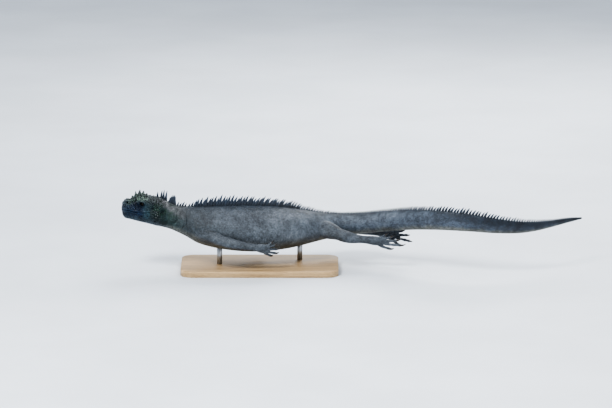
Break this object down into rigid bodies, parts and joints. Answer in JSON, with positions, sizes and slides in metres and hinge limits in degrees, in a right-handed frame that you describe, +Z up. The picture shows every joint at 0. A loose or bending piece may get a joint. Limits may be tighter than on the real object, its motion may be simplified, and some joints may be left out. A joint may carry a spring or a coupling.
{
  "type": "marine iguana",
  "caption": "Life-size swimming marine iguana with spiny crest, knobbly head, trailing legs and a curving tail, on a flat stand with short rods.",
  "frame": {"origin": "centre of the underside of the stand's base, on the floor", "axes": "+Z up; +X from the head towards the tail, so the snout points to -X; +Y to the animal's right"},
  "size_m": [0.8795, 0.1848, 0.1584],
  "materials": {
    "body_skin": "scaly, wet",
    "head_skin": "knobbly, wet",
    "claw": "horn, satin",
    "eye": "wet gloss",
    "stand_wood": "satin varnish",
    "stand_steel": "brushed"
  },
  "bodies": {
    "root": {"head": "head_skin", "jaw": "head_skin", "eye_left": "eye", "eye_right": "eye", "neck": "body_skin", "torso": "body_skin", "tail_1": "body_skin", "tail_2": "body_skin", "tail_3": "body_skin", "tail_4": "body_skin", "upper_arm_left": "body_skin", "forearm_left": "body_skin", "forefoot_left": "body_skin", "thigh_left": "body_skin", "shank_left": "body_skin", "hindfoot_left": "body_skin", "upper_arm_right": "body_skin", "forearm_right": "body_skin", "forefoot_right": "body_skin", "thigh_right": "body_skin", "shank_right": "body_skin", "hindfoot_right": "body_skin", "forefoot_left_claw_1": "claw", "forefoot_left_claw_2": "claw", "forefoot_left_claw_3": "claw", "forefoot_left_claw_4": "claw", "forefoot_left_claw_5": "claw", "hindfoot_left_claw_1": "claw", "hindfoot_left_claw_2": "claw", "hindfoot_left_claw_3": "claw", "hindfoot_left_claw_4": "claw", "hindfoot_left_claw_5": "claw", "forefoot_right_claw_1": "claw", "forefoot_right_claw_2": "claw", "forefoot_right_claw_3": "claw", "forefoot_right_claw_4": "claw", "forefoot_right_claw_5": "claw", "hindfoot_right_claw_1": "claw", "hindfoot_right_claw_2": "claw", "hindfoot_right_claw_3": "claw", "hindfoot_right_claw_4": "claw", "hindfoot_right_claw_5": "claw", "stand_base": "stand_wood", "stand_rod_1": "stand_steel", "stand_rod_2": "stand_steel"}
  },
  "joints": []
}
